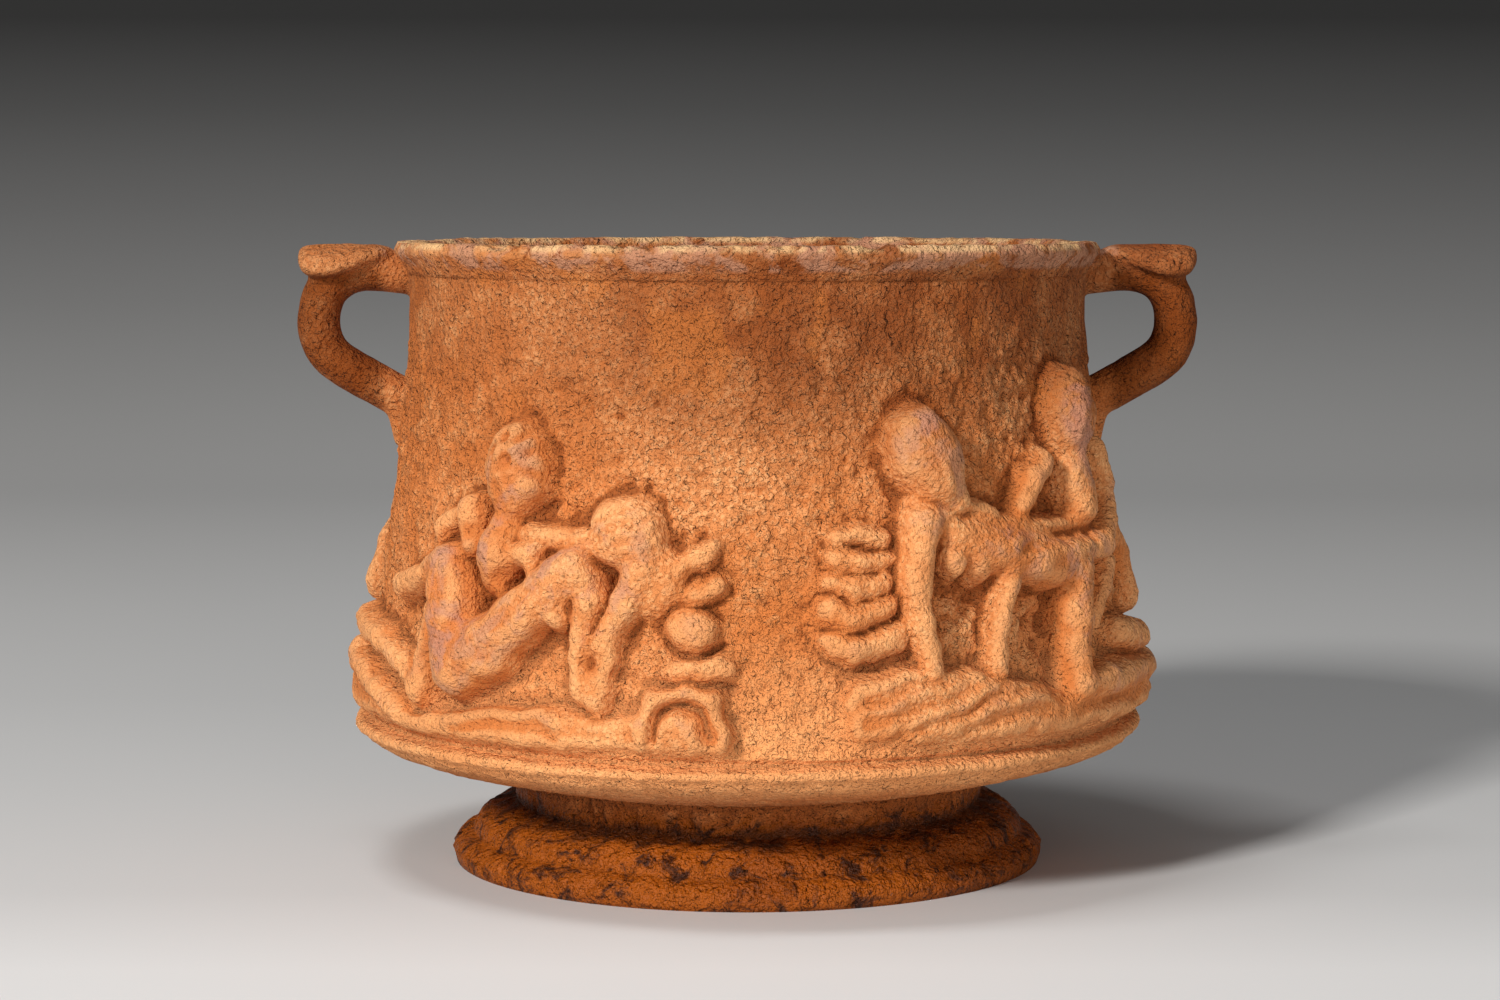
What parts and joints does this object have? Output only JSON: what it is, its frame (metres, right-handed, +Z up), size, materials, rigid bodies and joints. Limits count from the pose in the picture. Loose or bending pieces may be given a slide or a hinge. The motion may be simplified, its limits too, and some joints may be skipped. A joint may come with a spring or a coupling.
{
  "type": "skyphos drinking cup",
  "caption": "Terracotta drinking cup on a moulded foot, with ring handles under thumb plates and worn figure reliefs round its belly.",
  "frame": {"origin": "on the ground under the middle of the cup", "axes": "+X through the handles, +Z up, the front towards -Y"},
  "size_m": [0.154, 0.1354, 0.1056],
  "materials": {
    "terracotta": "worn, unglazed and granular"
  },
  "bodies": {
    "root": {"skyphos": "terracotta"}
  },
  "joints": []
}
